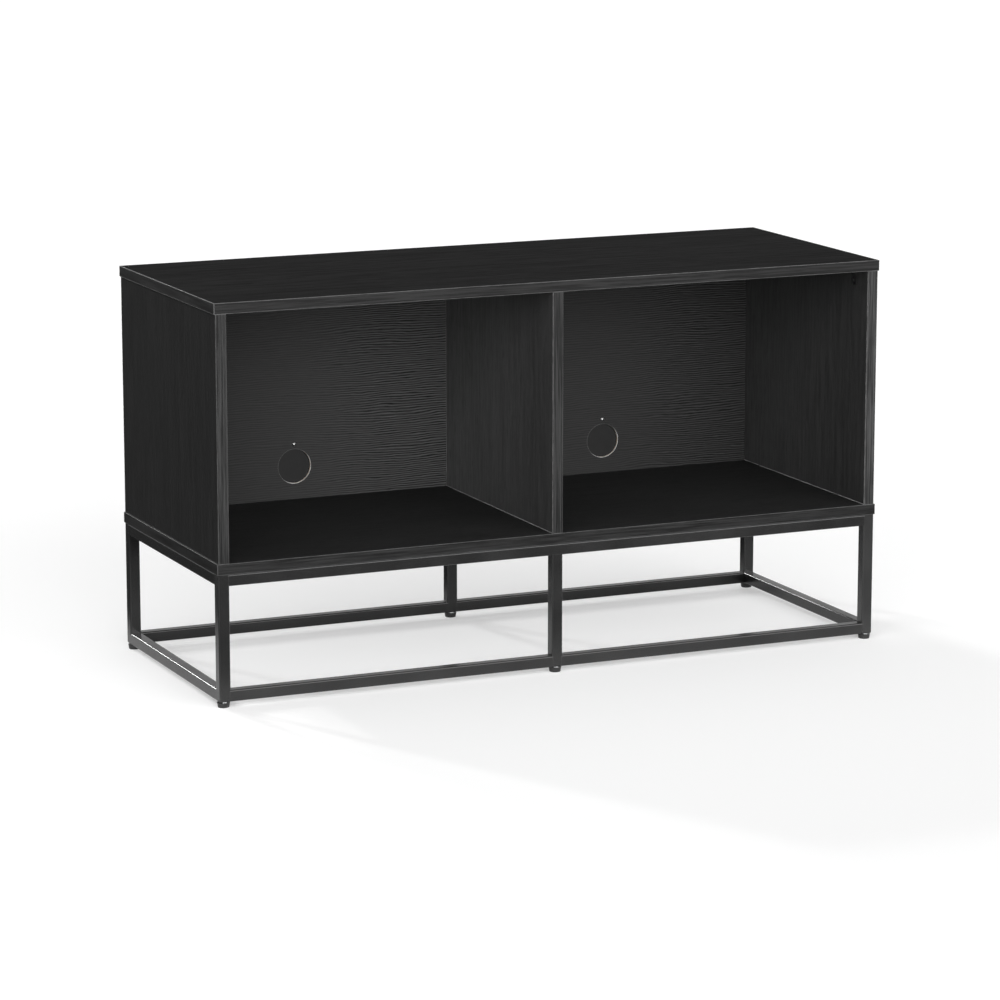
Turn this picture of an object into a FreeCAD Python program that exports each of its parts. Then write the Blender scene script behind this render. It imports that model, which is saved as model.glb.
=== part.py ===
"""Media cabinet: two open bays of 15 mm board on a welded square-tube base with six levelling feet.

Frame: +Z up, origin at the centre of the footprint on the floor, +X along the width, front towards -Y.
All sizes are millimetres.
"""
import FreeCAD
import Part
import math
import os

V = FreeCAD.Vector

# ---- driving dimensions: cabinet -------------------------------------------------------------
WIDTH = 1000.0              # top panel, over its edge bands
DEPTH = 385.0               # top panel, over its edge bands
BAY_HEIGHT = 337.0          # clear height inside both bays
BOARD = 15.0                # thickness of every structural board
BAND = 1.0                  # thickness of the plastic edge bands
BAND_ROUND = 0.4            # rounding of a band's outer long edges
SIDE_OVERHANG = 2.0         # top and bottom panels stand out past each side panel
FRONT_SETBACK = 0.5         # uprights stand back from the front of the top panel

# ---- back panel and its cable ports ----------------------------------------------------------
BACK_THICKNESS = 3.0
BACK_RECESS = 9.5           # from the cabinet's rear to the back panel's rear face
GROOVE_DEPTH = 6.0
GROOVE_CLEARANCE = 0.15     # on each face of the back panel
GROOVE_END_CLEARANCE = 0.3
PORT_RADIUS = 25.0
PORT_RISE = 48.0            # port centre above the bay's floor
COVER_LAP = 4.0             # a closed cover reaches past the port's edge all round
COVER_EAR_RADIUS = 7.0
COVER_THICKNESS = 2.0
COVER_GAP = 0.3             # between a cover and what it swings past
PIVOT_OUTSET = 7.0          # port's edge to the cover's pivot above it
PIVOT_RADIUS = 2.0
PIVOT_RUNNING_FIT = 0.05    # radial
PIVOT_HEAD_RADIUS = 3.0
PIVOT_HEAD_HEIGHT = 1.4

# ---- steel base -----------------------------------------------------------------------------
TUBE = 16.0                 # outer width of the square tube
TUBE_WALL = 1.2
TUBE_CORNER = 2.0           # outer corner radius of the tube
BASE_HEIGHT = 175.0         # from the underside of the legs to the bottom panel
BASE_INSET = 1.0            # base stands in from the bottom panel's edges

# ---- levelling feet --------------------------------------------------------------------------
FOOT_HEIGHT = 8.0           # floor to the end of the leg with the foot screwed in
COLLAR_HEIGHT = 1.0         # six-sided collar between the pad and the leg
COLLAR_ACROSS_FLATS = 10.0
FOOT_GAP = 0.3              # collar to insert with the foot screwed in
PAD_OVERHANG = 0.8          # top of the pad stands out past the tube
PAD_TAPER = 1.0             # smaller radius at the floor
PAD_EDGE_ROUND = 0.8
STUD_RADIUS = 3.0
STUD_RUNNING_FIT = 0.05     # radial
STUD_IN_PAD = 4.0
STUD_IN_INSERT = 16.0
INSERT_LENGTH = 18.0

# ---- fasteners -------------------------------------------------------------------------------
FRONT_FIXING = 42.0         # cabinet front to the front row of fixings
REAR_FIXING = 60.0          # back panel to the rear row of fixings
DOWEL_PITCH = 32.0          # a fixing to its neighbouring dowel
DOWEL_RADIUS = 4.0
DOWEL_IN_PANEL = 10.0
DOWEL_IN_UPRIGHT = 20.0
CAM_RADIUS = 7.5
CAM_DEPTH = 11.5
CAM_DROP = 18.0             # underside of the top panel to a cam's centre
CAM_SLOT_LENGTH = 9.0
CAM_SLOT_WIDTH = 1.6
CAM_SLOT_DEPTH = 1.5
BOLT_RADIUS = 3.0
BOLT_HOLE_RADIUS = 3.5
BOLT_IN_TOP = 10.0
BOLT_HEAD_RADIUS = 3.2
BOLT_HEAD_HEIGHT = 5.0
BOLT_NECK_RADIUS = 2.0
BOLT_NECK_HEIGHT = 5.0
BOLT_CLEARANCE = 0.2
CONFIRMAT_HEAD_RADIUS = 4.8
CONFIRMAT_HEAD_HEIGHT = 3.0
CONFIRMAT_NECK_RADIUS = 3.4
CONFIRMAT_SHANK_RADIUS = 2.5
CONFIRMAT_LENGTH = 50.0
BASE_SCREW_RADIUS = 2.0
BASE_SCREW_HEAD_RADIUS = 4.0
BASE_SCREW_HEAD_HEIGHT = 2.0
BASE_SCREW_HEAD_EASE = 0.5
BASE_SCREW_COVER = 0.7      # board left between a screw's tip and the level of the groove
BASE_SCREW_CLEARANCE = 0.25
BASE_SCREW_ACCESS = 1.0     # radial room for the head in the lower wall of the tube
BASE_SCREW_END = 123.0      # corner leg to the end screw of a row
BASE_SCREWS_IN_ROW = 4
BACK_SCREW_RADIUS = 1.5
BACK_SCREW_HEAD_RADIUS = 3.0
BACK_SCREW_HEAD_HEIGHT = 1.4
BACK_SCREW_IN_DIVIDER = 13.0
BACK_SCREW_END = 42.0       # top and bottom back screws, from the ends of the divider

# ---- derived levels and places ---------------------------------------------------------------
LEG_BOTTOM = FOOT_HEIGHT
BASE_TOP = LEG_BOTTOM + BASE_HEIGHT
BAY_FLOOR = BASE_TOP + BOARD
BAY_CEILING = BAY_FLOOR + BAY_HEIGHT
TOP = BAY_CEILING + BOARD
HALF_W = WIDTH / 2
FRONT = -DEPTH / 2
REAR = DEPTH / 2
SIDE_OUTER = HALF_W - SIDE_OVERHANG
SIDE_INNER = SIDE_OUTER - BOARD
UPRIGHT_FRONT = FRONT + FRONT_SETBACK
BACK_REAR = REAR - BACK_RECESS
BACK_FRONT = BACK_REAR - BACK_THICKNESS
BAY_CENTRE = (SIDE_INNER + BOARD / 2) / 2
PORT_Z = BAY_FLOOR + PORT_RISE
COVER_RADIUS = PORT_RADIUS + COVER_LAP
PIVOT_RISE = PORT_RADIUS + PIVOT_OUTSET
PIVOT_Z = PORT_Z + PIVOT_RISE
COVER_FRONT = BACK_REAR + COVER_GAP
COVER_REAR = COVER_FRONT + COVER_THICKNESS
LEG_X = HALF_W - BASE_INSET - TUBE / 2
LEG_Y = REAR - BASE_INSET - TUBE / 2
UPPER_RAIL_Z = BASE_TOP - TUBE / 2
LOWER_RAIL_Z = LEG_BOTTOM + TUBE / 2
TUBE_BORE = TUBE - 2 * TUBE_WALL
CORNER_LEG_PLACES = {
    "front_left": (-LEG_X, -LEG_Y), "front_right": (LEG_X, -LEG_Y),
    "rear_left": (-LEG_X, LEG_Y), "rear_right": (LEG_X, LEG_Y),
}
MIDDLE_LEG_PLACES = {"front_middle": (0.0, -LEG_Y), "rear_middle": (0.0, LEG_Y)}
LEG_PLACES = {**CORNER_LEG_PLACES, **MIDDLE_LEG_PLACES}
BASE_SCREW_SEAT = BASE_TOP - TUBE_WALL
BASE_SCREW_IN_PANEL = BOARD - GROOVE_DEPTH - GROOVE_END_CLEARANCE - BASE_SCREW_COVER
FIXING_ROWS = (FRONT + FRONT_FIXING, BACK_FRONT - REAR_FIXING)
DOWEL_ROWS = (FIXING_ROWS[0] + DOWEL_PITCH, FIXING_ROWS[1] - DOWEL_PITCH)
UPRIGHT_CENTRES = (-(SIDE_OUTER - BOARD / 2), 0.0, SIDE_OUTER - BOARD / 2)


# ---- basic solids ----------------------------------------------------------------------------
def block(x0, x1, y0, y1, z0, z1):
    return Part.makeBox(x1 - x0, y1 - y0, z1 - z0, V(x0, y0, z0))


def rod(radius, start, direction, length):
    return Part.makeCylinder(radius, length, V(*start), V(*direction))


def cut_all(shape, tools):
    return shape.cut(tools) if tools else shape


def edges_along(shape, axis):
    """The straight edges of a box-like solid that run along axis 0, 1 or 2."""
    return [e for e in shape.Edges if abs(e.tangentAt(e.FirstParameter)[axis]) > 0.999]


def square_bar(low, high, axis, side, corner, round_low_end=False):
    """A square bar between low and high along one axis, centred on the line, with rounded corners."""
    size = [side, side, side]
    size[axis] = high[axis] - low[axis]
    start = [low[i] - side / 2 for i in range(3)]
    start[axis] = low[axis]
    bar = Part.makeBox(*size, V(*start))
    rounded = edges_along(bar, axis)
    if round_low_end:
        rounded += [e for e in bar.Edges if e.BoundBox.Center[axis] < low[axis] + corner / 2]
    return bar.makeFillet(corner, rounded)


def solid_tube(low, high, axis, round_low_end=False):
    """The outer shape of a square tube, from its centre line's two ends."""
    return square_bar(low, high, axis, TUBE, TUBE_CORNER, round_low_end)


def tube_bore(low, high, axis):
    return square_bar(low, high, axis, TUBE_BORE, TUBE_CORNER - TUBE_WALL)


# ---- fasteners, which are also the tools that cut their own holes ------------------------------
def upright_fixing_places():
    return [(x, y) for x in UPRIGHT_CENTRES for y in FIXING_ROWS]


def dowel(x, y, joint_z, upright_above):
    """A dowel across the joint between a horizontal panel and an upright."""
    low = DOWEL_IN_PANEL if upright_above else DOWEL_IN_UPRIGHT
    return rod(DOWEL_RADIUS, (x, y, joint_z - low), (0, 0, 1), DOWEL_IN_PANEL + DOWEL_IN_UPRIGHT)


def all_dowels():
    pins = []
    for x in UPRIGHT_CENTRES:
        for y in DOWEL_ROWS:
            pins.append(dowel(x, y, BAY_FLOOR, True))
            pins.append(dowel(x, y, BAY_CEILING, False))
    return pins


def cam_bolt(x, y):
    """A bolt that screws up into the top panel and ends in a head that the cam grips."""
    cam_z = BAY_CEILING - CAM_DROP
    head_z = cam_z - BOLT_HEAD_HEIGHT / 2
    neck_z = head_z + BOLT_HEAD_HEIGHT
    shank_z = neck_z + BOLT_NECK_HEIGHT
    head = rod(BOLT_HEAD_RADIUS, (x, y, head_z), (0, 0, 1), BOLT_HEAD_HEIGHT)
    neck = rod(BOLT_NECK_RADIUS, (x, y, neck_z), (0, 0, 1), BOLT_NECK_HEIGHT)
    shank = rod(BOLT_RADIUS, (x, y, shank_z), (0, 0, 1), BAY_CEILING + BOLT_IN_TOP - shank_z)
    return head.fuse([neck, shank])


def bolt_hole(x, y):
    """The hole in an upright's end that a cam bolt passes down through."""
    length = CAM_DROP + BOLT_HEAD_HEIGHT
    return rod(BOLT_HOLE_RADIUS, (x, y, BAY_CEILING - length), (0, 0, 1), length)


def cam_face(x):
    """Inner face and inward direction of the side of an upright that takes the cams."""
    if x > 0:
        return x - BOARD / 2, 1.0
    if x < 0:
        return x + BOARD / 2, -1.0
    return BOARD / 2, -1.0


def cam_blank(x, y):
    face, into = cam_face(x)
    return rod(CAM_RADIUS, (face, y, BAY_CEILING - CAM_DROP), (into, 0, 0), CAM_DEPTH)


def cam(x, y):
    """A round cam lock, hollow round the bolt's head and neck, with a cross slot in its face."""
    face, into = cam_face(x)
    centre_z = BAY_CEILING - CAM_DROP
    grip = BOLT_HEAD_HEIGHT / 2 + BOLT_CLEARANCE
    pocket = rod(BOLT_HEAD_RADIUS + BOLT_CLEARANCE, (x, y, centre_z - grip), (0, 0, 1), 2 * grip)
    throat = rod(BOLT_NECK_RADIUS + BOLT_CLEARANCE, (x, y, centre_z), (0, 0, 1), CAM_RADIUS + 1)
    x0, x1 = sorted((face, face + into * CAM_SLOT_DEPTH))
    half, wide = CAM_SLOT_LENGTH / 2, CAM_SLOT_WIDTH / 2
    level = block(x0, x1, y - half, y + half, centre_z - wide, centre_z + wide)
    upright = block(x0, x1, y - wide, y + wide, centre_z - half, centre_z + half)
    return cam_blank(x, y).cut([pocket, throat, level, upright])


def confirmat(x, y):
    """A countersunk assembly screw up through the bottom panel into an upright."""
    head = Part.makeCone(CONFIRMAT_HEAD_RADIUS, CONFIRMAT_NECK_RADIUS, CONFIRMAT_HEAD_HEIGHT,
                         V(x, y, BASE_TOP))
    neck = rod(CONFIRMAT_NECK_RADIUS, (x, y, BASE_TOP + CONFIRMAT_HEAD_HEIGHT), (0, 0, 1),
               BOARD - CONFIRMAT_HEAD_HEIGHT)
    shank = rod(CONFIRMAT_SHANK_RADIUS, (x, y, BAY_FLOOR), (0, 0, 1), CONFIRMAT_LENGTH - BOARD)
    return head.fuse([neck, shank])


def base_screw_places():
    """A row in the front and rear upper rails, evenly spaced, and one in each side rail."""
    end_x = LEG_X - TUBE / 2 - BASE_SCREW_END
    pitch = 2 * end_x / (BASE_SCREWS_IN_ROW - 1)
    rows = [(pitch * k - end_x, y) for y in (-LEG_Y, LEG_Y) for k in range(BASE_SCREWS_IN_ROW)]
    return rows + [(-LEG_X, 0.0), (LEG_X, 0.0)]


def base_screw(x, y):
    """A pan-head screw inside an upper rail, up through its upper wall into the bottom panel."""
    head = rod(BASE_SCREW_HEAD_RADIUS, (x, y, BASE_SCREW_SEAT - BASE_SCREW_HEAD_HEIGHT), (0, 0, 1),
               BASE_SCREW_HEAD_HEIGHT)
    head = head.makeChamfer(BASE_SCREW_HEAD_EASE, [min(head.Edges, key=lambda e: e.BoundBox.ZMax)])
    shank = rod(BASE_SCREW_RADIUS, (x, y, BASE_SCREW_SEAT), (0, 0, 1), TUBE_WALL + BASE_SCREW_IN_PANEL)
    return head.fuse(shank)


def base_screw_holes():
    """Clearance holes in the upper walls of the upper rails, and larger ones below for the heads."""
    holes = []
    for x, y in base_screw_places():
        holes.append(rod(BASE_SCREW_RADIUS + BASE_SCREW_CLEARANCE, (x, y, UPPER_RAIL_Z), (0, 0, 1), TUBE / 2))
        holes.append(rod(BASE_SCREW_HEAD_RADIUS + BASE_SCREW_ACCESS, (x, y, BASE_TOP - TUBE), (0, 0, 1),
                         TUBE / 2))
    return holes


def back_screw_heights():
    low, high = BAY_FLOOR + BACK_SCREW_END, BAY_CEILING - BACK_SCREW_END
    return low, (low + high) / 2, high


def back_screw(z):
    """A small pan-head screw through the back panel into the rear edge of the divider."""
    head = rod(BACK_SCREW_HEAD_RADIUS, (0, BACK_REAR, z), (0, 1, 0), BACK_SCREW_HEAD_HEIGHT)
    shank = rod(BACK_SCREW_RADIUS, (0, BACK_FRONT - BACK_SCREW_IN_DIVIDER, z), (0, 1, 0),
                BACK_SCREW_IN_DIVIDER + BACK_THICKNESS)
    return head.fuse(shank)


# ---- boards ----------------------------------------------------------------------------------
def back_groove():
    """The space that the back panel needs in the four panels round it."""
    side = SIDE_INNER + GROOVE_DEPTH + GROOVE_END_CLEARANCE
    rise = GROOVE_DEPTH + GROOVE_END_CLEARANCE
    return block(-side, side, BACK_FRONT - GROOVE_CLEARANCE, BACK_REAR + GROOVE_CLEARANCE,
                 BAY_FLOOR - rise, BAY_CEILING + rise)


def top_panel():
    board = block(-HALF_W + BAND, HALF_W - BAND, FRONT + BAND, REAR - BAND, BAY_CEILING, TOP)
    bolts = [cam_bolt(x, y) for x, y in upright_fixing_places()]
    return cut_all(board, [back_groove()] + bolts + all_dowels())


def bottom_panel():
    board = block(-HALF_W + BAND, HALF_W - BAND, FRONT + BAND, REAR, BASE_TOP, BAY_FLOOR)
    screws = [confirmat(x, y) for x, y in upright_fixing_places()]
    screws += [base_screw(x, y) for x, y in base_screw_places()]
    return cut_all(board, [back_groove()] + screws + all_dowels())


def upright(centre_x, rear):
    """A standing board behind its front band, with the holes for its fixings at both ends."""
    board = block(centre_x - BOARD / 2, centre_x + BOARD / 2, UPRIGHT_FRONT + BAND, rear,
                  BAY_FLOOR, BAY_CEILING)
    holes = []
    for y in FIXING_ROWS:
        holes += [bolt_hole(centre_x, y), cam_blank(centre_x, y), confirmat(centre_x, y)]
    return cut_all(board, holes + all_dowels())


def side_panel(sign):
    return upright(sign * UPRIGHT_CENTRES[2], REAR).cut(back_groove())


def centre_divider():
    return cut_all(upright(0.0, BACK_FRONT), [back_screw(z) for z in back_screw_heights()])


def back_panel():
    side = SIDE_INNER + GROOVE_DEPTH
    sheet = block(-side, side, BACK_FRONT, BACK_REAR, BAY_FLOOR - GROOVE_DEPTH, BAY_CEILING + GROOVE_DEPTH)
    holes = [back_screw(z) for z in back_screw_heights()]
    for x in (-BAY_CENTRE, BAY_CENTRE):
        holes.append(rod(PORT_RADIUS, (x, BACK_FRONT, PORT_Z), (0, 1, 0), BACK_THICKNESS))
        holes.append(port_pivot(x))
    return cut_all(sheet, holes)


# ---- edge bands ------------------------------------------------------------------------------
def front_band(x0, x1, z0, z1, front, vertical=False):
    """A band on a front edge, with its two long front corners eased."""
    band = block(x0, x1, front, front + BAND, z0, z1)
    long_edges = edges_along(band, 2 if vertical else 0)
    return band.makeFillet(BAND_ROUND, [e for e in long_edges if e.BoundBox.YMax < front + BAND / 2])


def rear_band(x0, x1, z0, z1):
    band = block(x0, x1, REAR - BAND, REAR, z0, z1)
    outer = [e for e in edges_along(band, 0) if e.BoundBox.YMin > REAR - BAND / 2]
    return band.makeFillet(BAND_ROUND, outer)


def end_band(sign, rear, z0, z1):
    """A band on the left or right end of the top or bottom panel."""
    x0, x1 = sorted((sign * HALF_W, sign * (HALF_W - BAND)))
    band = block(x0, x1, FRONT + BAND, rear, z0, z1)
    outer = [e for e in edges_along(band, 1) if abs(e.BoundBox.XMin) > HALF_W - BAND / 2]
    return band.makeFillet(BAND_ROUND, outer)


# ---- steel base ------------------------------------------------------------------------------
def leg_core(x, y, top):
    """The outer shape of a leg, with rounded edges all round at its floor end."""
    return solid_tube((x, y, LEG_BOTTOM), (x, y, top), 2, round_low_end=True)


def leg_bores(top):
    """The inside of every leg, up to a level."""
    return [tube_bore((x, y, LEG_BOTTOM), (x, y, top), 2) for x, y in LEG_PLACES.values()]


def past_corners(start, end, axis):
    """A rail's centre line, run on past the rounded corners of the legs at both ends."""
    low, high = list(start), list(end)
    low[axis] -= TUBE_CORNER
    high[axis] += TUBE_CORNER
    return low, high


def rail(start, end, axis, neighbours):
    """A rail whose ends are shaped to meet its neighbours' rounded corners flush, as ground welds do."""
    low, high = past_corners(start, end, axis)
    hollow = solid_tube(low, high, axis).cut(tube_bore(low, high, axis))
    return hollow.cut(neighbours + leg_bores(BASE_TOP - TUBE) + base_screw_holes())


def base_nodes():
    """Six legs, a ring of upper rails under the bottom panel and a ring of lower rails."""
    inner_x, inner_y, middle = LEG_X - TUBE / 2, LEG_Y - TUBE / 2, TUBE / 2
    upper, lower = {}, {}
    for name, y in (("front", -LEG_Y), ("rear", LEG_Y)):
        upper[name + "_upper_rail"] = (-inner_x, y, UPPER_RAIL_Z), (inner_x, y, UPPER_RAIL_Z)
        lower[name + "_left_lower_rail"] = (-inner_x, y, LOWER_RAIL_Z), (-middle, y, LOWER_RAIL_Z)
        lower[name + "_right_lower_rail"] = (middle, y, LOWER_RAIL_Z), (inner_x, y, LOWER_RAIL_Z)
    long_rails = {**upper, **lower}
    long_cores = {name: solid_tube(*past_corners(*line, 0), 0) for name, line in long_rails.items()}

    upper_cores = [long_cores[name] for name in upper]
    corner_cores = [leg_core(x, y, BASE_TOP) for x, y in CORNER_LEG_PLACES.values()]
    middle_top = BASE_TOP - TUBE + TUBE_CORNER
    middle_cores = [leg_core(x, y, middle_top).cut(upper_cores) for x, y in MIDDLE_LEG_PLACES.values()]

    nodes = {}
    for name, core in zip(LEG_PLACES, corner_cores + middle_cores):
        nodes[name + "_leg"] = core.cut(leg_bores(BASE_TOP))
    for name, line in upper.items():
        nodes[name] = rail(*line, 0, corner_cores)
    for name, line in lower.items():
        nodes[name] = rail(*line, 0, corner_cores + middle_cores)
    for name, x in (("left", -LEG_X), ("right", LEG_X)):
        for level, z in (("upper", UPPER_RAIL_Z), ("lower", LOWER_RAIL_Z)):
            line = (x, -inner_y, z), (x, inner_y, z)
            nodes[name + "_" + level + "_rail"] = rail(*line, 1, corner_cores + list(long_cores.values()))
    return nodes


# ---- levelling feet --------------------------------------------------------------------------
def leg_insert(x, y):
    """A square threaded plug, flush in the end of a leg."""
    plug = square_bar((x, y, LEG_BOTTOM), (x, y, LEG_BOTTOM + INSERT_LENGTH), 2, TUBE_BORE,
                      TUBE_CORNER - TUBE_WALL)
    return plug.cut(rod(STUD_RADIUS + STUD_RUNNING_FIT, (x, y, LEG_BOTTOM), (0, 0, 1), INSERT_LENGTH))


def pad_top():
    return LEG_BOTTOM - COLLAR_HEIGHT - FOOT_GAP


def foot_stud(x, y):
    """A stud moulded into the pad, with a six-sided collar for a spanner above the pad."""
    start = pad_top() - STUD_IN_PAD
    stud = rod(STUD_RADIUS, (x, y, start), (0, 0, 1), LEG_BOTTOM + STUD_IN_INSERT - start)
    reach = COLLAR_ACROSS_FLATS / 2 / math.cos(math.pi / 6)
    turns = [math.pi / 3 * k for k in range(7)]
    corners = [V(x + reach * math.cos(turn), y + reach * math.sin(turn), pad_top()) for turn in turns]
    return stud.fuse(Part.Face(Part.makePolygon(corners)).extrude(V(0, 0, COLLAR_HEIGHT)))


def foot_pad(x, y):
    """A tapered round pad with a rounded lower edge, moulded round the end of its stud."""
    top_radius = TUBE / 2 + PAD_OVERHANG
    pad = Part.makeCone(top_radius - PAD_TAPER, top_radius, pad_top(), V(x, y, 0))
    rims = [e for e in pad.Edges if e.BoundBox.ZMax < pad_top() / 2 and e.Curve.TypeId == "Part::GeomCircle"]
    return pad.makeFillet(PAD_EDGE_ROUND, rims).cut(foot_stud(x, y))


# ---- port covers -----------------------------------------------------------------------------
def domed_head(x, y, way):
    """A rivet head on the plane at y, domed towards the rear (way 1) or the front (way -1)."""
    ball = (PIVOT_HEAD_RADIUS ** 2 + PIVOT_HEAD_HEIGHT ** 2) / (2 * PIVOT_HEAD_HEIGHT)
    centre = V(x, y + way * (PIVOT_HEAD_HEIGHT - ball), PIVOT_Z)
    flat = math.degrees(math.acos(PIVOT_HEAD_RADIUS / ball))
    return Part.makeSphere(ball, centre, V(0, way, 0), flat, 90, 360)


def port_pivot(x):
    """A rivet through the back panel, with a head inside the bay and one behind the cover."""
    rear_head = COVER_REAR + COVER_GAP
    shank = rod(PIVOT_RADIUS, (x, BACK_FRONT, PIVOT_Z), (0, 1, 0), rear_head - BACK_FRONT)
    return shank.fuse([domed_head(x, BACK_FRONT, -1), domed_head(x, rear_head, 1)])


def port_cover(x):
    """A disc behind the port with an ear that tapers up to its pivot."""
    lean = math.asin((COVER_RADIUS - COVER_EAR_RADIUS) / PIVOT_RISE)
    out, up = math.cos(lean), math.sin(lean)
    low = (COVER_RADIUS * out, COVER_RADIUS * up)
    high = (COVER_EAR_RADIUS * out, PIVOT_RISE + COVER_EAR_RADIUS * up)
    outline = [low, high, (-high[0], high[1]), (-low[0], low[1]), low]
    flanks = Part.Face(Part.makePolygon([V(x + u, COVER_FRONT, PORT_Z + v) for u, v in outline]))
    web = flanks.extrude(V(0, COVER_THICKNESS, 0))
    disc = rod(COVER_RADIUS, (x, COVER_FRONT, PORT_Z), (0, 1, 0), COVER_THICKNESS)
    ear = rod(COVER_EAR_RADIUS, (x, COVER_FRONT, PIVOT_Z), (0, 1, 0), COVER_THICKNESS)
    hole = rod(PIVOT_RADIUS + PIVOT_RUNNING_FIT, (x, COVER_FRONT, PIVOT_Z), (0, 1, 0), COVER_THICKNESS)
    return disc.fuse([web, ear]).removeSplitter().cut(hole)


# ---- the whole cabinet -------------------------------------------------------------------------
def panel_nodes():
    return {
        "top_panel": top_panel(),
        "bottom_panel": bottom_panel(),
        "left_side_panel": side_panel(-1),
        "right_side_panel": side_panel(1),
        "centre_divider": centre_divider(),
        "back_panel": back_panel(),
    }


def band_nodes():
    nodes = {
        "top_front_edge_band": front_band(-HALF_W, HALF_W, BAY_CEILING, TOP, FRONT),
        "top_rear_edge_band": rear_band(-HALF_W, HALF_W, BAY_CEILING, TOP),
        "bottom_front_edge_band": front_band(-HALF_W, HALF_W, BASE_TOP, BAY_FLOOR, FRONT),
    }
    for name, sign in (("left", -1), ("right", 1)):
        nodes["top_" + name + "_edge_band"] = end_band(sign, REAR - BAND, BAY_CEILING, TOP)
        nodes["bottom_" + name + "_edge_band"] = end_band(sign, REAR, BASE_TOP, BAY_FLOOR)
    for name, x in zip(("left_side", "divider", "right_side"), UPRIGHT_CENTRES):
        nodes[name + "_front_edge_band"] = front_band(x - BOARD / 2, x + BOARD / 2, BAY_FLOOR,
                                                      BAY_CEILING, UPRIGHT_FRONT, vertical=True)
    return nodes


def foot_nodes():
    nodes = {}
    for name, (x, y) in LEG_PLACES.items():
        nodes[name + "_foot_pad"] = foot_pad(x, y)
        nodes[name + "_foot_stud"] = foot_stud(x, y)
    nodes["leg_inserts"] = Part.makeCompound([leg_insert(x, y) for x, y in LEG_PLACES.values()])
    return nodes


def port_nodes():
    return {
        "left_port_cover": port_cover(-BAY_CENTRE),
        "right_port_cover": port_cover(BAY_CENTRE),
        "port_cover_pivots": Part.makeCompound([port_pivot(-BAY_CENTRE), port_pivot(BAY_CENTRE)]),
    }


def fastener_nodes():
    places = upright_fixing_places()
    return {
        "cam_locks": Part.makeCompound([cam(x, y) for x, y in places]),
        "cam_bolts": Part.makeCompound([cam_bolt(x, y) for x, y in places]),
        "wooden_dowels": Part.makeCompound(all_dowels()),
        "assembly_screws": Part.makeCompound([confirmat(x, y) for x, y in places]),
        "base_screws": Part.makeCompound([base_screw(x, y) for x, y in base_screw_places()]),
        "back_panel_screws": Part.makeCompound([back_screw(z) for z in back_screw_heights()]),
    }


os.makedirs("parts", exist_ok=True)
nodes = {**panel_nodes(), **band_nodes(), **base_nodes(), **foot_nodes(), **port_nodes(), **fastener_nodes()}
for name, shape in nodes.items():
    shape.exportStep("parts/" + name + ".step")
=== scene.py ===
"""Media cabinet in black oak-grain board on a square-tube steel base: materials, light and camera."""
import math

import bpy
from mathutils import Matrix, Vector

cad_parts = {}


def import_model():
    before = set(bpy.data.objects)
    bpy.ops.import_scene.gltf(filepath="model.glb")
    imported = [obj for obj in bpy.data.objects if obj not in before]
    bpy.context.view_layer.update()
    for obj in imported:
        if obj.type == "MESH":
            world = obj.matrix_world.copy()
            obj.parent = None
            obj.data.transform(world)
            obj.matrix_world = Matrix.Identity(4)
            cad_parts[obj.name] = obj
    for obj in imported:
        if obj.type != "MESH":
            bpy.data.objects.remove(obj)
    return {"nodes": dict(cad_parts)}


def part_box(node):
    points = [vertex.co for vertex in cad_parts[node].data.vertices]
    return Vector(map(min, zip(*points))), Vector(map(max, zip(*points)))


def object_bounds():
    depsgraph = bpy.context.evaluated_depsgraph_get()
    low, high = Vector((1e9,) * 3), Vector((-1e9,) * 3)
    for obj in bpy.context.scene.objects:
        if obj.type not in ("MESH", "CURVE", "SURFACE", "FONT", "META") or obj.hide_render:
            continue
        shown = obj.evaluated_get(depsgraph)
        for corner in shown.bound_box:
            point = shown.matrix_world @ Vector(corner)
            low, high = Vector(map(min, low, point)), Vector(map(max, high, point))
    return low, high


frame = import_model()
cad_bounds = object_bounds()

MM = 0.001

# Camera: in front of the cabinet, to its left and above it.
CAMERA_PLACE = (-2.293, -5.134, 1.3513)      # metres
CAMERA_TURN = 24.05         # degrees to the right of straight ahead
CAMERA_DIP = 11.48          # degrees below the horizon
CAMERA_LENS = 145.0
SENSOR = 36.0

# Studio light. A fade starts and ends at two parts of a unit direction.
WALL_LIGHT = 6.0
WALL_TURN = 12.0            # degrees that the wall stands to the left of straight in front
WALL_FADE_ROUND = (0.05, 0.85)
WALL_FADE_UP = (0.25, 0.75)
CEILING_LIGHT = 0.6
CEILING_FADE = (0.45, 0.95)
REAR_LIGHT = 0.05
BACKDROP_LIGHT = 0.7        # what gloss sees low behind the cabinet
BACKDROP_FADE_ROUND = (0.35, 0.75)
BACKDROP_FADE_UP = (0.24, 0.34)
KEY = (12.0, 23.0, 1.1, 8.0)         # compass, rise, strength and softness; angles in degrees
EDGE_LIGHT = (24.5, 28.0, 0.6, 3.0)
GLOSS_FADE = (0.05, 0.24)   # metres from the cabinet where gloss starts and stops losing the floor's light
GLOSS_DIMMING = 0.9         # share of that light which gloss has lost at the end
FLOOR_SIZE = 60.0
FLOOR_GREY = 0.92
FLOOR_GLOW = 0.32           # keeps the floor's shadows light in the camera's view
FLOOR_SHADE = 0.78          # share of the floor's own shading in the camera's view

# Sizes that the looks share with the design.
PORT_RADIUS = 25 * MM
PORT_RISE = 48 * MM
BAY_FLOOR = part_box("bottom_panel")[1].z
EMBOSS_PITCH = 3.4 * MM         # between two embossed lines on the back panel
EMBOSS_DRIFT = 16 * MM          # how far those lines wander, over long and over short distances
EMBOSS_WANDER = 4 * MM
PORT_RIM = (0.1 * MM, 0.6 * MM)  # how far outside a port its pale rim starts and stops fading; the rim is chipped and partly a painted highlight
REAR_PAINTED_LIGHT_FADE = (60 * MM, 15 * MM)   # from a board's front and rear edges to the ends of its rear gain, the painted light on its left face
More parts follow.
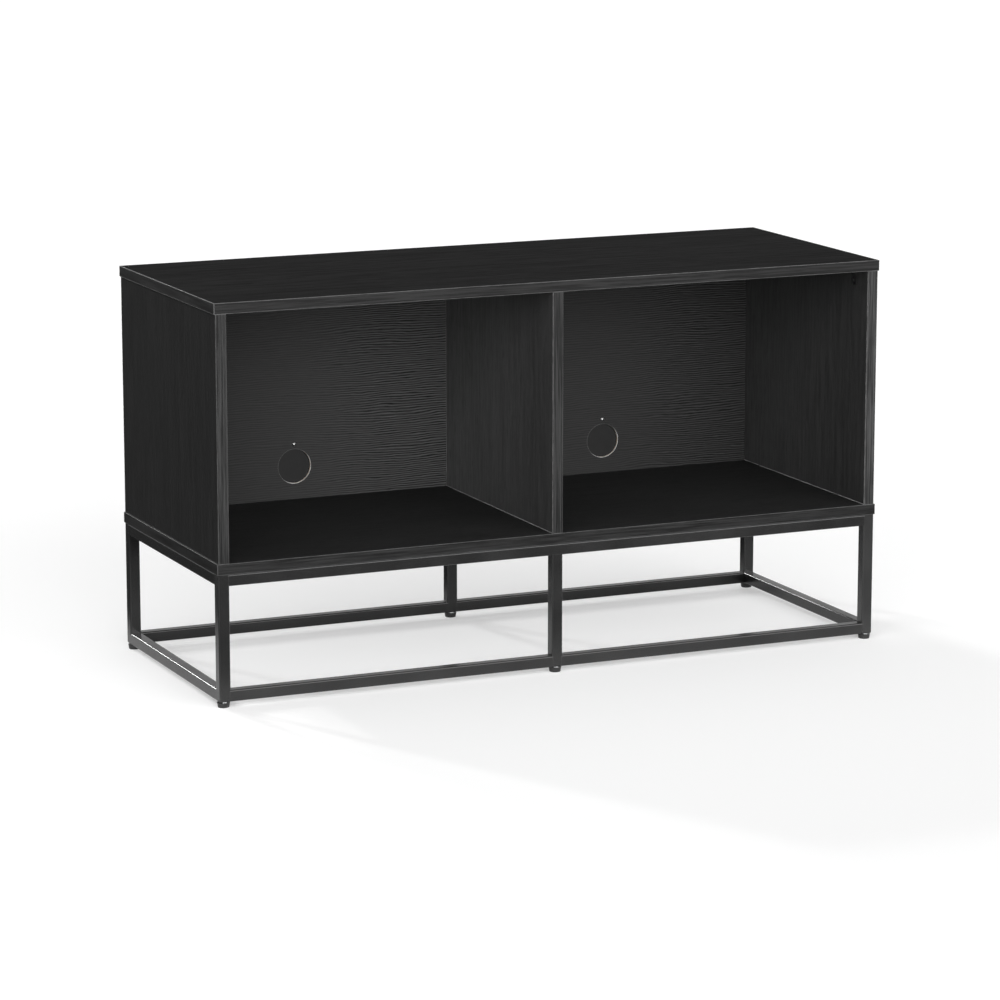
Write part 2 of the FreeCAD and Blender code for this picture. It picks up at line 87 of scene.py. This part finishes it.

# Grey levels in linear light, set by comparison with the photograph.
TOP_GRAIN = (0.0170, 0.0245)    # dark and light
BOTTOM_GRAIN = (0.018, 0.026)
UPRIGHT_CONTRAST = 0.16         # an upright's grain lies this share below and above its level
BACK_LEFT_BAY_PAINTED_LIGHT = (0.040, 0.084)  # at the left and at the right of that bay: painted light, lighter towards the bay's right
# The right bay and the rear face; in the right bay this lower level is a painted shade.
BACK_ELSEWHERE = 0.046
# Level of the port rim's painted highlight and chips.
PORT_RIM_PAINTED_HIGHLIGHT = 0.85
# Level of the painted highlight on the base's corners.
PAINTED_CORNER_HIGHLIGHT = 0.03


# ---- node helpers ----------------------------------------------------------------------------
class Nodes:
    """A material's node tree, with short ways to add nodes to it."""

    def __init__(self, name):
        self.material = bpy.data.materials.new(name)
        self.material.use_nodes = True
        self.tree = self.material.node_tree
        self.shader = self.tree.nodes["Principled BSDF"]
        self.place = self.add("ShaderNodeTexCoord").outputs["Object"]

    def add(self, kind, **settings):
        node = self.tree.nodes.new(kind)
        for key, value in settings.items():
            setattr(node, key, value)
        return node

    def link(self, value, socket):
        """Connects an output to an input, or sets the input to a plain value."""
        if isinstance(value, bpy.types.NodeSocket):
            self.tree.links.new(value, socket)
        elif isinstance(value, tuple):
            socket.default_value = (*value, 1.0)
        else:
            socket.default_value = value

    def math(self, operation, a, b=0.0, c=0.0):
        node = self.add("ShaderNodeMath", operation=operation)
        for value, socket in zip((a, b, c), node.inputs):
            self.link(value, socket)
        return node.outputs[0]

    def stretched(self, scale, shift=(0.0, 0.0, 0.0)):
        """The place on the part, scaled along each axis."""
        node = self.add("ShaderNodeMapping")
        self.link(self.place, node.inputs["Vector"])
        node.inputs["Scale"].default_value = scale
        node.inputs["Location"].default_value = shift
        return node.outputs[0]

    def noise(self, vector, detail, roughness=0.5):
        """Noise round 0.5. The vector already carries the scale."""
        node = self.add("ShaderNodeTexNoise")
        self.link(vector, node.inputs["Vector"])
        node.inputs["Scale"].default_value = 1.0
        node.inputs["Detail"].default_value = detail
        node.inputs["Roughness"].default_value = roughness
        return node.outputs["Fac"]

    def spread(self, value, low, high, new_low=0.0, new_high=1.0, smooth=True):
        """Maps low..high to new_low..new_high and stops at both ends."""
        node = self.add("ShaderNodeMapRange", interpolation_type="SMOOTHSTEP" if smooth else "LINEAR")
        for name, number in (("Value", value), ("From Min", low), ("From Max", high),
                             ("To Min", new_low), ("To Max", new_high)):
            self.link(number, node.inputs[name])
        return node.outputs["Result"]

    def mix(self, factor, a, b):
        node = self.add("ShaderNodeMix", data_type="RGBA")
        self.link(factor, node.inputs[0])
        self.link(a, node.inputs[6])
        self.link(b, node.inputs[7])
        return node.outputs[2]

    def bump(self, height, strength, distance):
        node = self.add("ShaderNodeBump")
        self.link(height, node.inputs["Height"])
        node.inputs["Strength"].default_value = strength
        node.inputs["Distance"].default_value = distance
        return node.outputs["Normal"]

    def split(self, vector):
        node = self.add("ShaderNodeSeparateXYZ")
        self.link(vector, node.inputs[0])
        return node.outputs

    def edge_distance(self, low, high):
        """Distance on a box's surface to its nearest edge, in metres: the middle one of three gaps."""
        place = self.split(self.place)
        gaps = []
        for axis in range(3):
            below = self.math("SUBTRACT", place[axis], low[axis])
            above = self.math("SUBTRACT", high[axis], place[axis])
            gaps.append(self.math("MINIMUM", below, above))
        least = self.math("MINIMUM", gaps[0], gaps[1])
        most = self.math("MAXIMUM", gaps[0], gaps[1])
        return self.math("MAXIMUM", least, self.math("MINIMUM", most, gaps[2]))

    def finish(self, colour, roughness, normal=None, specular=0.5):
        self.link(colour, self.shader.inputs["Base Color"])
        self.link(roughness, self.shader.inputs["Roughness"])
        self.shader.inputs["Specular IOR Level"].default_value = specular
        if normal is not None:
            self.link(normal, self.shader.inputs["Normal"])
        return self.material


def grey(level):
    """A neutral grey of one linear light level."""
    return level, level, level


def along(axis, long_scale, across_scale):
    """A stretched texture's scale with the grain along one axis."""
    scale = [across_scale] * 3
    scale[axis] = long_scale
    return tuple(scale)


# ---- materials -------------------------------------------------------------------------------
def oak_grain(n, grain, seed):
    """Oak figure: wavy lines, short pores and broad cloudy change. Three heights from 0 to 1."""
    shift = (seed * 3.1, seed * 1.7, seed * 2.3)
    sway = n.noise(n.stretched(along(grain, 5.0, 16.0), shift), detail=2.0)
    lift = n.math("MULTIPLY", n.math("SUBTRACT", sway, 0.5), 20 * MM)
    push = n.add("ShaderNodeCombineXYZ")
    for axis in range(3):
        n.link(0.0 if axis == grain else lift, push.inputs[axis])
    bend = n.add("ShaderNodeVectorMath", operation="ADD")
    n.link(n.place, bend.inputs[0])
    n.link(push.outputs[0], bend.inputs[1])
    stretch = n.add("ShaderNodeMapping")
    n.link(bend.outputs[0], stretch.inputs["Vector"])
    stretch.inputs["Scale"].default_value = along(grain, 7.0, 260.0)
    stretch.inputs["Location"].default_value = shift
    lines = n.noise(stretch.outputs[0], detail=3.0, roughness=0.55)
    pores = n.noise(n.stretched(along(grain, 45.0, 1600.0), shift), detail=2.0)
    clouds = n.noise(n.stretched(along(grain, 3.0, 9.0), shift), detail=2.0)
    return lines, pores, clouds


def painted_edge_highlights(n, node, colour, light, wide):
    """Thin pale lines, broken here and there, where a part's faces meet: painted highlights where the
    eased edges catch the light.
    """
    line = n.spread(n.edge_distance(*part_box(node)), 0.3 * wide, wide, 1.0, 0.0)
    breaks = n.noise(n.stretched((90.0, 90.0, 90.0)), detail=3.0)
    line = n.math("MULTIPLY", line, n.spread(breaks, 0.3, 0.6, 0.55, 1.0))
    return n.mix(line, colour, grey(light))


def oak_board(node, grain, dark, light, seed, edge_highlight=0.10, edge_width=0.9 * MM, specular=0.08,
              rear_painted_light=1.0):
    """Black oak-grain melamine. The rear gain is painted light: it lightens the board's left face evenly
    towards the rear, evening out the shade deeper in the bay.
    """
    n = Nodes(node.replace("_", " ") + " black oak")
    lines, pores, clouds = oak_grain(n, grain, seed)
    strong = n.spread(lines, 0.38, 0.62)
    pore = n.spread(pores, 0.52, 0.70)
    tone = n.math("ADD", n.math("MULTIPLY", strong, 0.6), n.math("MULTIPLY", clouds, 0.4))
    tone = n.spread(tone, 0.2, 0.8, smooth=False)
    colour = n.mix(tone, grey(dark), grey(light))
    # Rear gain: painted light, the left face painted evenly lighter towards the rear.
    if rear_painted_light != 1.0:
        low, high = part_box(node)
        place = n.split(n.place)
        rear_light_share = n.spread(place[1], low.y + REAR_PAINTED_LIGHT_FADE[0], high.y - REAR_PAINTED_LIGHT_FADE[1], smooth=False)
        rear_light_share = n.math("MULTIPLY", rear_light_share, n.math("LESS_THAN", place[0], (low.x + high.x) / 2))
        colour = n.mix(rear_light_share, colour, n.mix(tone, grey(dark * rear_painted_light), grey(light * rear_painted_light)))
    colour = n.mix(n.math("MULTIPLY", pore, 0.5), colour, grey(dark * 0.6))
    # Pale edge lines: painted highlights.
    colour = painted_edge_highlights(n, node, colour, edge_highlight, edge_width)
    height = n.math("SUBTRACT", strong, n.math("MULTIPLY", pore, 0.5))
    rough = n.spread(n.math("ADD", lines, n.math("MULTIPLY", pore, 0.2)), 0.3, 0.9, 0.50, 0.66)
    return n.finish(colour, rough, n.bump(height, 0.35, 0.12 * MM), specular=specular)


def oak_edging(node, grain, level, seed, edge_highlight):
    """Plastic edge band: fine streaks along it, and its eased corners painted paler as highlights."""
    n = Nodes(node.replace("_", " "))
    shift = (seed, seed, seed)
    broad = n.noise(n.stretched(along(grain, 9.0, 420.0), shift), detail=3.0, roughness=0.6)
    fine = n.noise(n.stretched(along(grain, 30.0, 1500.0), shift), detail=2.0)
    streaks = n.math("ADD", n.math("MULTIPLY", broad, 0.65), n.math("MULTIPLY", fine, 0.35))
    colour = n.mix(n.spread(streaks, 0.40, 0.62), grey(level * 0.35), grey(level * 1.75))
    colour = painted_edge_highlights(n, node, colour, edge_highlight, 1.0 * MM)
    rough = n.spread(streaks, 0.3, 0.7, 0.36, 0.52)
    return n.finish(colour, rough, n.bump(streaks, 0.4, 0.08 * MM), specular=0.18)


def embossed_lines(n, bay_share, rear):
    """Fine level ridges: heights round 0, at most 0.5. In front, the right of each bay is clearest."""
    drift = n.noise(n.stretched((5.0, 5.0, 14.0)), detail=2.0)
    wander = n.noise(n.stretched((30.0, 30.0, 120.0), (3.0, 5.0, 7.0)), detail=2.0)
    height = n.math("MULTIPLY_ADD", drift, EMBOSS_DRIFT, n.split(n.place)[2])
    height = n.math("MULTIPLY_ADD", wander, EMBOSS_WANDER, height)
    wave = n.math("SINE", n.math("MULTIPLY", height, 2 * math.pi / EMBOSS_PITCH))
    breaks = n.noise(n.stretched((34.0, 34.0, 170.0), (2.0, 1.0, 4.0)), detail=2.0)
    clear = n.math("MAXIMUM", n.spread(bay_share, 0.50, 0.82, 0.26, 1.0), rear)
    clear = n.math("MULTIPLY", clear, n.spread(breaks, 0.34, 0.60, 0.4, 1.0))
    return n.math("MULTIPLY", clear, n.math("MULTIPLY", wave, 0.5))


def back_board():
    """The thin back panel: embossed lines that run level, and a raw cut edge round each cable port, with a
    pale rim that is partly chipped and partly a painted highlight on its right and lower side. The left
    bay is painted lighter towards its right and the right bay darker, as painted light and shade.
    """
    n = Nodes("back panel black oak")
    place = n.split(n.place)
    low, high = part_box("back_panel")
    port = port_centre(1)
    bay_share = n.math("FRACT", n.math("ADD", n.math("DIVIDE", place[0], 2 * port.x), 1.0))
    rear = n.math("GREATER_THAN", place[1], (low.y + high.y) / 2)
    ridges = embossed_lines(n, bay_share, rear)
    pores = n.noise(n.stretched((40.0, 40.0, 900.0)), detail=2.0)
    right_bay = n.math("GREATER_THAN", place[0], 0.0)
    # Painted light and shade: the left bay's back lighter towards its right, the right bay darker.
    left_bay_painted_light = [grey(level) for level in BACK_LEFT_BAY_PAINTED_LIGHT]
    board = n.mix(n.spread(bay_share, 0.3, 1.0, smooth=False), *left_bay_painted_light)
    board = n.mix(n.math("MAXIMUM", right_bay, rear), board, grey(BACK_ELSEWHERE))
    tone = n.math("MULTIPLY_ADD", ridges, 0.9, n.math("MULTIPLY_ADD", pores, 0.16, 0.42))
    colour = n.mix(tone, grey(0.0), board)
    across = n.math("SUBTRACT", place[0], n.math("MULTIPLY", n.math("SIGN", place[0]), port.x))
    up = n.math("SUBTRACT", place[2], port.z)
    squares = n.math("ADD", n.math("MULTIPLY", across, across), n.math("MULTIPLY", up, up))
    radius = n.math("SQRT", squares)
    rim = n.spread(radius, PORT_RADIUS + PORT_RIM[0], PORT_RADIUS + PORT_RIM[1], 1.0, 0.0)
    chips = n.noise(n.stretched((240.0, 240.0, 240.0)), detail=3.0)
    # The rim is painted brightest on the port's right and lower side: a painted highlight where the cut
    # edge catches the light, broken by real chips.
    rim_lit_side = n.math("DIVIDE", n.math("SUBTRACT", across, up), radius)
    chipped_and_lit_rim = n.math("MULTIPLY", n.spread(chips, 0.34, 0.58, 0.5, 1.0), n.spread(rim_lit_side, -0.3, 1.0, 0.1, 1.0))
    facing = n.split(n.add("ShaderNodeNewGeometry").outputs["Normal"])[1]
    wall = n.spread(n.math("ABSOLUTE", facing), 0.4, 0.6, 1.0, 0.0)
    inside = n.math("MULTIPLY", wall, n.math("LESS_THAN", radius, PORT_RADIUS + 2 * MM))
    fibres = n.noise(n.stretched((500.0, 900.0, 500.0)), detail=3.0)
    raw = n.mix(fibres, (0.50, 0.38, 0.28), (0.74, 0.64, 0.54))
    colour = n.mix(n.math("MULTIPLY", rim, chipped_and_lit_rim), colour, grey(PORT_RIM_PAINTED_HIGHLIGHT))
    rough = n.spread(ridges, -0.5, 0.5, 0.62, 0.48)
    return n.finish(n.mix(inside, colour, raw), rough, n.bump(ridges, 0.7, 0.15 * MM), specular=0.12)


def powder_coat(node, level):
    """Satin black powder coat: fine orange peel, faint change of gloss and corners painted paler as a
    highlight on the rounded edges.
    """
    n = Nodes(node.replace("_", " ") + " powder coat")
    peel = n.noise(n.stretched((900.0, 900.0, 900.0)), detail=2.0)
    patches = n.noise(n.stretched((14.0, 14.0, 14.0)), detail=3.0)
    corner = n.spread(n.edge_distance(*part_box(node)), 0.6 * MM, 2.2 * MM, 1.0, 0.0)
    colour = n.mix(patches, grey(level * 0.7), grey(level * 1.3))
    # Paler corners: a painted highlight along the rounded edges.
    colour = n.mix(n.math("MULTIPLY", corner, 0.3), colour, grey(PAINTED_CORNER_HIGHLIGHT))
    rough = n.spread(patches, 0.3, 0.7, 0.19, 0.26)
    return n.finish(colour, rough, n.bump(peel, 0.10, 0.05 * MM))


def moulded_plastic(name, level, roughness, specular):
    """Black moulded nylon with a fine spark-eroded texture."""
    n = Nodes(name)
    speckle = n.noise(n.stretched((1800.0, 1800.0, 1800.0)), detail=2.0)
    patches = n.noise(n.stretched((60.0, 60.0, 60.0)), detail=2.0)
    colour = n.mix(patches, grey(level * 0.8), grey(level * 1.3))
    rough = n.spread(patches, 0.3, 0.7, roughness - 0.05, roughness + 0.05)
    return n.finish(colour, rough, n.bump(speckle, 0.2, 0.04 * MM), specular=specular)


def plated_steel(name, colour=(0.62, 0.63, 0.64), roughness=0.28, seed=0.0):
    """Plated or oxidised metal with cloudy plating and small handling marks."""
    n = Nodes(name)
    clouds = n.noise(n.stretched((260.0, 260.0, 260.0), (seed, seed, seed)), detail=4.0)
    marks = n.noise(n.stretched((2600.0, 700.0, 700.0), (seed, seed, seed)), detail=2.0)
    dull = tuple(0.7 * part for part in colour)
    shade = n.mix(clouds, dull, colour)
    rough = n.spread(clouds, 0.3, 0.7, roughness - 0.08, roughness + 0.14)
    n.shader.inputs["Metallic"].default_value = 1.0
    return n.finish(shade, rough, n.bump(marks, 0.15, 0.03 * MM))


def beech():
    """Fluted beech dowels, pale with short dark rays."""
    n = Nodes("dowel beech")
    grain = n.noise(n.stretched((900.0, 900.0, 60.0)), detail=3.0)
    rays = n.noise(n.stretched((1500.0, 1500.0, 260.0)), detail=1.0)
    colour = n.mix(grain, (0.52, 0.34, 0.20), (0.70, 0.52, 0.35))
    colour = n.mix(n.spread(rays, 0.6, 0.7, 0.0, 0.5), colour, (0.30, 0.17, 0.09))
    return n.finish(colour, n.spread(grain, 0.3, 0.7, 0.55, 0.7), n.bump(grain, 0.3, 0.1 * MM))


def port_centre(sign):
    """Centre of the left (-1) or right (1) cable port: across from its cover, up from the bay's floor."""
    low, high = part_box("left_port_cover" if sign < 0 else "right_port_cover")
    return Vector(((low.x + high.x) / 2, low.y, BAY_FLOOR + PORT_RISE))


# ---- give each CAD part its material ---------------------------------------------------------
def dress(node, material):
    """Gives a CAD part its one material."""
    part = frame["nodes"][node]
    part.data.materials.clear()
    part.data.materials.append(material)


def dress_boards():
    """Each upright has its grey level, the level of its painted edge highlights and its rear gain of
    painted light. The grey levels are lit and shaded copies of one black oak: the left side panel is
    painted darker and the divider and right side panel lighter, as painted shade and light.
    """
    across, up = 0, 2
    dress("top_panel", oak_board("top_panel", across, *TOP_GRAIN, seed=1.0, specular=0.0))
    dress("bottom_panel", oak_board("bottom_panel", across, *BOTTOM_GRAIN, seed=2.0, specular=0.02))
    uprights = (("left_side_panel", 0.0082, 0.05, 1.0), ("centre_divider", 0.0300, 0.26, 2.3),
                ("right_side_panel", 0.0220, 0.26, 2.0))
    for seed, (node, level, edge_highlight, rear_painted_light) in enumerate(uprights):
        dark, light = level * (1 - UPRIGHT_CONTRAST), level * (1 + UPRIGHT_CONTRAST)
        dress(node, oak_board(node, up, dark, light, seed=7.0 + seed, edge_highlight=edge_highlight,
                              edge_width=1.4 * MM, rear_painted_light=rear_painted_light))
    dress("back_panel", back_board())


def dress_bands():
    """Each edge band has the axis that it runs along, its grey level and the level of its painted edge
    highlights. The grey levels are lit and shaded copies of one edging, painted light and shade: the
    upright bands lighter than the level ones, the right side's band lightest.
    """
    across, deep, up = 0, 1, 2
    runs = {"top_left": (deep, 0.008, 0.090), "top_right": (deep, 0.008, 0.090),
            "bottom_left": (deep, 0.007, 0.050), "bottom_right": (deep, 0.007, 0.050),
            "top_front": (across, 0.009, 0.085), "top_rear": (across, 0.009, 0.085),
            "bottom_front": (across, 0.009, 0.060), "left_side_front": (up, 0.016, 0.050),
            "divider_front": (up, 0.014, 0.050), "right_side_front": (up, 0.026, 0.060)}
    for seed, (start, (grain, level, edge_highlight)) in enumerate(runs.items()):
        node = start + "_edge_band"
        dress(node, oak_edging(node, grain, level, 1.3 * seed, edge_highlight))


def dress_base():
    """A leg's or rail's grey level goes by the first word of its name, apart from one leg's own. These are
    lit and shaded copies of one powder coat: the rear and side parts are painted darker as shade, the
    front right leg lighter as painted light.
    """
    # Painted light and shade: rear and side parts darker, the front right leg lighter.
    lit_and_shaded_levels = {"front": 0.0120, "front_right_leg": 0.0185, "rear": 0.0025, "left": 0.0020, "right": 0.0050}
    for node in frame["nodes"]:
        if node.endswith("_leg") or node.endswith("_rail"):
            level = lit_and_shaded_levels.get(node, lit_and_shaded_levels[node.split("_")[0]])
            dress(node, powder_coat(node, level))


def dress_small_parts():
    nylon = moulded_plastic("foot nylon", 0.012, 0.34, 0.5)
    cover = moulded_plastic("port cover plastic", 0.015, 0.55, 0.15)
    zinc = plated_steel("zinc plate")
    for node in frame["nodes"]:
        if node.endswith("_foot_pad") or node == "leg_inserts":
            dress(node, nylon)
        elif node.endswith("_port_cover"):
            dress(node, cover)
        elif node.endswith("_foot_stud"):
            dress(node, zinc)
    for node in ("assembly_screws", "cam_bolts", "back_panel_screws"):
        dress(node, zinc)
    dress("port_cover_pivots", plated_steel("rivet steel", (0.42, 0.42, 0.42), 0.30, seed=4.0))
    dress("base_screws", plated_steel("black oxide", (0.05, 0.05, 0.052), 0.35, seed=2.0))
    dress("cam_locks", plated_steel("dark die-cast zinc", (0.16, 0.16, 0.165), 0.38, seed=3.0))
    dress("wooden_dowels", beech())


# ---- stage, light and camera -----------------------------------------------------------------
def floor():
    """A pale floor. The camera sees it glow a little, and gloss sees it dim away from the cabinet."""
    bpy.ops.mesh.primitive_plane_add(size=FLOOR_SIZE, location=(0, 0, 0))
    plane = bpy.context.object
    plane.name = "floor"
    n = Nodes("pale studio floor")
    pale = n.finish(grey(FLOOR_GREY), 0.9, specular=0.1)
    place = n.split(n.place)
    past = []
    for axis in (0, 1):
        edge = cad_bounds[1][axis]
        past.append(n.math("MAXIMUM", n.math("SUBTRACT", n.math("ABSOLUTE", place[axis]), edge), 0.0))
    squares = n.math("ADD", n.math("MULTIPLY", past[0], past[0]), n.math("MULTIPLY", past[1], past[1]))
    far = n.spread(n.math("SQRT", squares), *GLOSS_FADE, 0.0, GLOSS_DIMMING)
    rays = n.add("ShaderNodeLightPath").outputs

    def blend(factor, first, second):
        node = n.add("ShaderNodeMixShader")
        for value, socket in zip((factor, first, second), node.inputs):
            n.link(value, socket)
        return node.outputs[0]

    def plain(kind, colour):
        node = n.add(kind)
        n.link(colour, node.inputs["Color"])
        return node.outputs[0]

    dimmed = blend(n.math("MULTIPLY", far, rays["Is Glossy Ray"]), n.shader.outputs[0],
                   plain("ShaderNodeBsdfDiffuse", grey(0.0)))
    seen = n.add("ShaderNodeAddShader")
    n.link(plain("ShaderNodeEmission", grey(FLOOR_GLOW)), seen.inputs[0])
    n.link(plain("ShaderNodeBsdfDiffuse", grey(FLOOR_GREY * FLOOR_SHADE)), seen.inputs[1])
    n.link(blend(rays["Is Camera Ray"], dimmed, seen.outputs[0]),
           n.tree.nodes["Material Output"].inputs["Surface"])
    plane.data.materials.append(pale)


class World(Nodes):
    """The world's node tree, with the same short ways to add nodes to it."""

    def __init__(self, name):
        world = bpy.data.worlds.new(name)
        bpy.context.scene.world = world
        world.use_nodes = True
        self.tree = world.node_tree
        self.shader = self.tree.nodes["Background"]
        self.place = self.add("ShaderNodeTexCoord").outputs["Generated"]


def world():
    """A wide soft light wall in front, a dimmer ceiling and a dark rear, where gloss sees a backdrop.

    The camera sees plain white.
    """
    n = World("soft studio")
    direction = n.split(n.place)
    turn = math.radians(WALL_TURN)
    facing = n.math("ADD", n.math("MULTIPLY", direction[0], -math.sin(turn)),
                    n.math("MULTIPLY", direction[1], -math.cos(turn)))
    low_down = n.spread(direction[2], *WALL_FADE_UP, 1.0, 0.0)
    wall = n.math("MULTIPLY", n.spread(facing, *WALL_FADE_ROUND, 0.0, WALL_LIGHT), low_down)
    ceiling = n.spread(direction[2], *CEILING_FADE, 0.0, CEILING_LIGHT)
    backdrop = n.math("MULTIPLY", n.spread(direction[1], *BACKDROP_FADE_ROUND, 0.0, BACKDROP_LIGHT),
                      n.spread(direction[2], *BACKDROP_FADE_UP, 1.0, 0.0))
    rays = n.add("ShaderNodeLightPath").outputs
    light = n.math("ADD", n.math("ADD", wall, ceiling), REAR_LIGHT)
    light = n.math("ADD", light, n.math("MULTIPLY", backdrop, rays["Is Glossy Ray"]))
    n.link(n.mix(rays["Is Camera Ray"], light, grey(1.0)), n.shader.inputs["Color"])


def sun(name, compass, rise, strength, softness):
    """A distant soft light. Compass 0 is behind the cabinet and 90 is to its left."""
    data = bpy.data.lights.new(name, "SUN")
    data.energy = strength
    data.angle = math.radians(softness)
    lamp = bpy.data.objects.new(name, data)
    bpy.context.scene.collection.objects.link(lamp)
    turn, lift = math.radians(compass), math.radians(rise)
    towards = Vector((-math.sin(turn) * math.cos(lift), math.cos(turn) * math.cos(lift), math.sin(lift)))
    lamp.rotation_euler = towards.to_track_quat("Z", "Y").to_euler()


def lights():
    sun("key from behind", *KEY)
    sun("edge light from behind left", *EDGE_LIGHT)


def camera():
    data = bpy.data.cameras.new("camera")
    data.sensor_width = SENSOR
    data.lens = CAMERA_LENS
    made = bpy.data.objects.new("camera", data)
    bpy.context.scene.collection.objects.link(made)
    turn, dip = math.radians(CAMERA_TURN), math.radians(CAMERA_DIP)
    ahead = Vector((math.sin(turn) * math.cos(dip), math.cos(turn) * math.cos(dip), -math.sin(dip)))
    made.location = CAMERA_PLACE
    made.rotation_euler = ahead.to_track_quat("-Z", "Y").to_euler()
    bpy.context.scene.camera = made


camera()
world()
lights()
floor()
dress_boards()
dress_bands()
dress_base()
dress_small_parts()
bpy.context.scene.view_settings.view_transform = "Standard"
